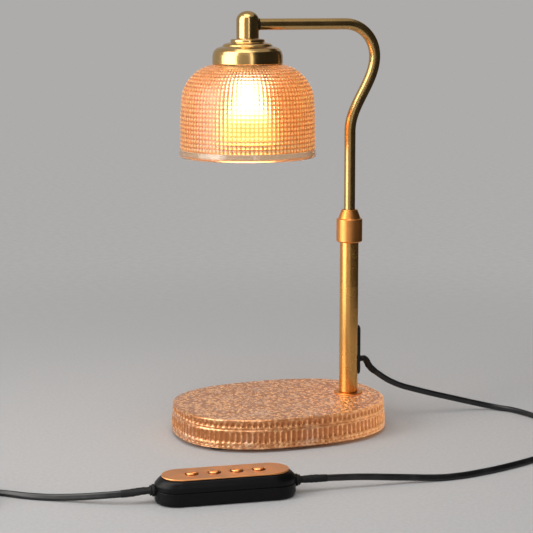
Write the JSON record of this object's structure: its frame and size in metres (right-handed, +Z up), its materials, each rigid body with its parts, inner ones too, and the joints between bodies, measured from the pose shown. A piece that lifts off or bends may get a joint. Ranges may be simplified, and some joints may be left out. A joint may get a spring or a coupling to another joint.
{
  "type": "candle warmer lamp",
  "caption": "Candle warmer lamp: glass shade with a reflector bulb on a sliding, swinging swan-neck arm over an oval fluted glass base, with a push-button controller and plug on its cord.",
  "frame": {"origin": "centre of the base's bounding box at the table, under the feet", "axes": "+Z up, +X from the base's centre towards the column along the base's long axis, +Y across the base, away from the controller"},
  "size_m": [0.5961, 0.2548, 0.3585],
  "materials": {
    "amber_base_glass": "gloss",
    "amber_shade_glass": "gloss",
    "antique_brass": "satin",
    "plated_steel": "satin",
    "black_rubber": "matte",
    "cord_sheath": "matte",
    "black_plastic": "satin",
    "holder_plastic": "matte",
    "bush_plastic": "matte",
    "copper_finish": "satin",
    "board_green": "matte",
    "bulb_glass": "gloss"
  },
  "bodies": {
    "column": {"base_glass": "amber_base_glass", "foot_pad_1": "black_rubber", "foot_pad_2": "black_rubber", "foot_pad_3": "black_rubber", "foot_pad_4": "black_rubber", "trim_washer": "antique_brass", "lower_tube": "antique_brass", "tube_end_bush": "plated_steel", "base_bolt": "plated_steel", "base_washer": "plated_steel", "cushion_washer": "black_rubber", "cord_exit_strip": "black_rubber", "top_bush": "antique_brass", "split_collet": "antique_brass", "cord_lamp_to_controller": "cord_sheath", "controller_lower_housing": "black_plastic", "controller_upper_housing": "black_plastic", "face_plate": "copper_finish", "circuit_board": "board_green", "grommet_lamp_side": "black_rubber", "grommet_plug_side": "black_rubber", "housing_screw_1": "plated_steel", "housing_screw_2": "plated_steel", "cord_controller_to_coil": "cord_sheath", "cord_coil": "cord_sheath", "plug_body": "black_plastic", "plug_blade_1": "plated_steel", "plug_blade_2": "plated_steel"},
    "slider": {"guide_bush": "bush_plastic"},
    "arm": {"arm_tube": "antique_brass", "head_knuckle": "antique_brass", "grub_screw": "plated_steel", "shade_cup": "antique_brass", "threaded_nipple": "plated_steel", "nipple_nut": "plated_steel", "lamp_holder": "holder_plastic", "shade_gasket": "black_rubber", "retaining_ring": "holder_plastic", "glass_shade": "amber_shade_glass", "reflector_bulb": "bulb_glass"},
    "nut": {"lock_nut": "antique_brass"},
    "key_1": {"button_1": "copper_finish"},
    "key_2": {"button_2": "copper_finish"},
    "key_3": {"button_3": "copper_finish"},
    "key_4": {"button_4": "copper_finish"}
  },
  "joints": [
    {"name": "arm_height_slide", "type": "slide", "parent": "column", "child": "slider", "axis": [0, 0, 1], "range_m": [-0.06, 0.02]},
    {"name": "arm_swing", "type": "hinge", "parent": "slider", "child": "arm", "pos_m": [0.065, 0, 0.2], "axis": [0, 0, 1], "range_deg": [-150, 150]},
    {"name": "lock_nut_turn", "type": "hinge", "parent": "column", "child": "nut", "pos_m": [0.065, 0, 0.174], "axis": [0, 0, 1], "range_deg": [0, 360]},
    {"name": "button_1_press", "type": "slide", "parent": "column", "child": "key_1", "axis": [0, 0, -1], "range_m": [0, 0.0006], "stiffness_N_per_m": 1000, "springref_m": -0.0003},
    {"name": "button_2_press", "type": "slide", "parent": "column", "child": "key_2", "axis": [0, 0, -1], "range_m": [0, 0.0006], "stiffness_N_per_m": 1000, "springref_m": -0.0003},
    {"name": "button_3_press", "type": "slide", "parent": "column", "child": "key_3", "axis": [0, 0, -1], "range_m": [0, 0.0006], "stiffness_N_per_m": 1000, "springref_m": -0.0003},
    {"name": "button_4_press", "type": "slide", "parent": "column", "child": "key_4", "axis": [0, 0, -1], "range_m": [0, 0.0006], "stiffness_N_per_m": 1000, "springref_m": -0.0003}
  ]
}
